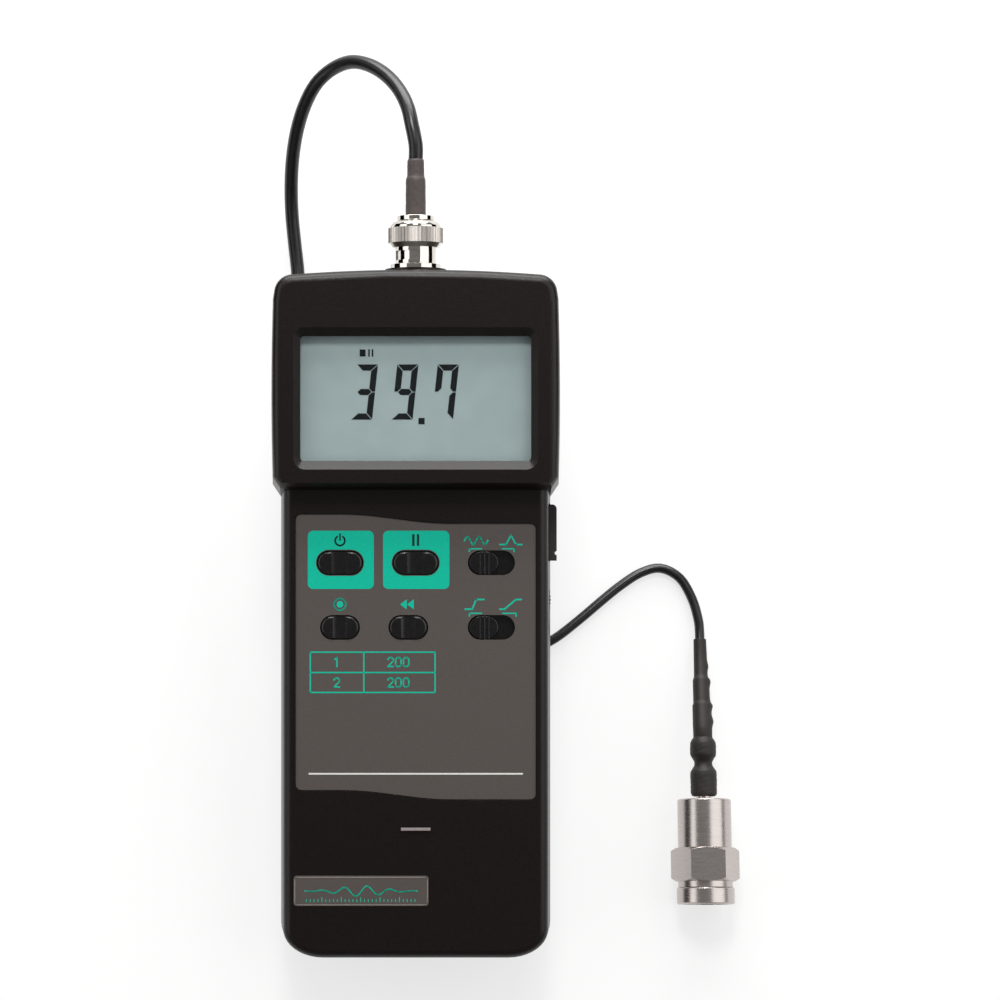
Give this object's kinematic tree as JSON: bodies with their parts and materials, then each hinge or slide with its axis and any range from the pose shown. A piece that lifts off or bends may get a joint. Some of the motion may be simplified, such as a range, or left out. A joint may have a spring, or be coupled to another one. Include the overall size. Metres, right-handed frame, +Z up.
{
  "type": "handheld vibration meter",
  "caption": "Handheld vibration meter leaning on its open tilt stand, with a coaxial lead to a magnetic-base accelerometer lying beside it.",
  "frame": {"origin": "centre of the box round the meter and its sensor, on the table that they lie on", "axes": "+X to the right over the display's width, +Y from the meter's foot end to its connector end, +Z up from the table"},
  "size_m": [0.1242, 0.2389, 0.0616],
  "materials": {
    "case": "fine-grained near-black moulded plastic",
    "plate": "satin grey-brown printed plastic",
    "keys": "satin near-black plastic",
    "window": "clear polished plastic",
    "lcd": "pale blue-grey display glass",
    "holder": "white moulded plastic",
    "strip": "layered elastomer",
    "board": "green solder mask",
    "switch": "black plastic with steel",
    "screw": "zinc plated",
    "nickel": "bright nickel",
    "steel": "turned stainless steel",
    "gold": "gold plated",
    "ptfe": "white insulator",
    "battery": "bare steel can with a plain sleeve",
    "boot": "matte dark grey-brown sleeving",
    "cord": "satin black jacket",
    "flap": "black rubber",
    "ceramic": "silvered ceramic",
    "magnet": "plated magnet",
    "tungsten": "ground heavy metal"
  },
  "bodies": {
    "meter": {"front_case": "case", "rear_case": "case", "case_screws": "screw", "face_plate": "plate", "label_plate": "plate", "display_window": "window", "lcd_panel": "lcd", "lcd_holder": "holder", "zebra_strips": "strip", "main_board": "board", "board_screws": "screw", "key_switches": "switch", "slide_switches": "screw", "data_jack": "switch", "zero_trimmer": "switch", "battery": "battery", "battery_snap": "switch", "bnc_socket": "nickel", "bnc_nut": "nickel", "bnc_insulator": "ptfe", "bnc_contact": "gold", "plug_body": "nickel", "plug_pin": "gold", "plug_boot": "boot", "lead_sleeved": "cord", "sleeve_end": "boot", "lead_bridge": "cord", "lead_coil": "cord", "coil_tie": "flap", "lead_run": "cord", "sensor_sleeve": "boot", "connector_boot": "boot", "sensor_can": "steel", "sensor_base": "steel", "piezo_discs": "ceramic", "seismic_mass": "tungsten"},
    "power_button": {"power_button": "keys"},
    "hold_button": {"hold_button": "keys"},
    "record_button": {"record_button": "keys"},
    "recall_button": {"recall_button": "keys"},
    "detector_slider": {"detector_slider": "keys"},
    "range_slider": {"range_slider": "keys"},
    "jack_cover": {"jack_cover": "flap"},
    "zero_wheel": {"zero_wheel": "keys"},
    "battery_door": {"battery_door": "case"},
    "tilt_stand": {"tilt_stand": "case"},
    "coupling_nut": {"coupling_nut": "nickel"},
    "mount_stud": {"mount_stud": "steel"},
    "magnet_base": {"magnet_base": "steel", "base_magnet": "magnet"}
  },
  "joints": [
    {"name": "power_press", "type": "slide", "parent": "meter", "child": "power_button", "axis": [0, -0.1736, 0.9848], "range_m": [-0.0005, 0], "stiffness_N_per_m": 400},
    {"name": "hold_press", "type": "slide", "parent": "meter", "child": "hold_button", "axis": [0, -0.1736, 0.9848], "range_m": [-0.0005, 0], "stiffness_N_per_m": 400},
    {"name": "record_press", "type": "slide", "parent": "meter", "child": "record_button", "axis": [0, -0.1736, 0.9848], "range_m": [-0.0005, 0], "stiffness_N_per_m": 400},
    {"name": "recall_press", "type": "slide", "parent": "meter", "child": "recall_button", "axis": [0, -0.1736, 0.9848], "range_m": [-0.0005, 0], "stiffness_N_per_m": 400},
    {"name": "detector_slide", "type": "slide", "parent": "meter", "child": "detector_slider", "axis": [1, 0, 0], "range_m": [0, 0.0039]},
    {"name": "range_slide", "type": "slide", "parent": "meter", "child": "range_slider", "axis": [1, 0, 0], "range_m": [0, 0.0039]},
    {"name": "jack_cover_hinge", "type": "hinge", "parent": "meter", "child": "jack_cover", "pos_m": [0.01159, 0.02183, 0.03328], "axis": [0, -0.1736, 0.9848], "range_deg": [0, 100]},
    {"name": "zero_wheel_turn", "type": "hinge", "parent": "meter", "child": "zero_wheel", "pos_m": [0.00604, -0.00148, 0.02815], "axis": [0, -0.1736, 0.9848], "range_deg": [-135, 135]},
    {"name": "battery_door_slide", "type": "slide", "parent": "meter", "child": "battery_door", "axis": [0, -0.9848, -0.1736], "range_m": [0, 0.05]},
    {"name": "tilt_stand_hinge", "type": "hinge", "parent": "meter", "child": "tilt_stand", "pos_m": [-0.02401, 0.01849, 0.02142], "axis": [1, 0, 0], "range_deg": [-95, 0]},
    {"name": "coupling_nut_turn", "type": "hinge", "parent": "meter", "child": "coupling_nut", "pos_m": [-0.02401, 0.09101, 0.04781], "axis": [0, 0.9848, 0.1736], "range_deg": [0, 90]},
    {"name": "stud_advance", "type": "slide", "parent": "meter", "child": "mount_stud", "axis": [0, -1, 0], "range_m": [0, 0.0024]},
    {"name": "base_turn", "type": "hinge", "parent": "mount_stud", "child": "magnet_base", "pos_m": [0.05299, -0.07801, 0.0079], "axis": [0, -1, 0], "range_deg": [0, 1080]}
  ],
  "couplings": [
    {"joint": "base_turn", "follows": "stud_advance", "rad_per_m": 7854}
  ]
}
